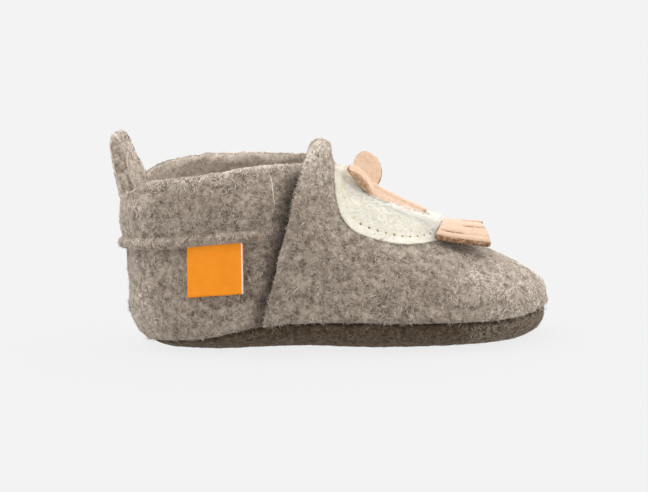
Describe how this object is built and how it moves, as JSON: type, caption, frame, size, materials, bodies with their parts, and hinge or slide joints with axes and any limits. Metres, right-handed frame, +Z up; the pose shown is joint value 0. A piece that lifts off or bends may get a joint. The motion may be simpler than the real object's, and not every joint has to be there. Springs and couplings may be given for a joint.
{
  "type": "baby crawling shoe",
  "caption": "Soft felt crawling shoe for a baby's right foot, with an elastic collar, heel tab, felt sole and a felt and leather animal sewn on the vamp.",
  "frame": {"origin": "middle of the shoe's box, on the floor", "axes": "+X towards the toe, +Y towards the inner side of the foot, +Z up"},
  "size_m": [0.1358, 0.0604, 0.0669],
  "materials": {
    "wool_felt": "matte, fuzzy boiled wool",
    "sole_felt": "matte, napped",
    "cream_felt": "matte, fluffy",
    "tan_leather": "matte, fine grain",
    "orange_ribbon": "satin weave"
  },
  "bodies": {
    "root": {"upper": "wool_felt", "collar_cuff": "wool_felt", "pull_tab": "wool_felt", "insole": "wool_felt", "sole": "sole_felt", "patch": "cream_felt", "leather_face": "tan_leather", "leather_fringe": "tan_leather", "label": "orange_ribbon"}
  },
  "joints": []
}
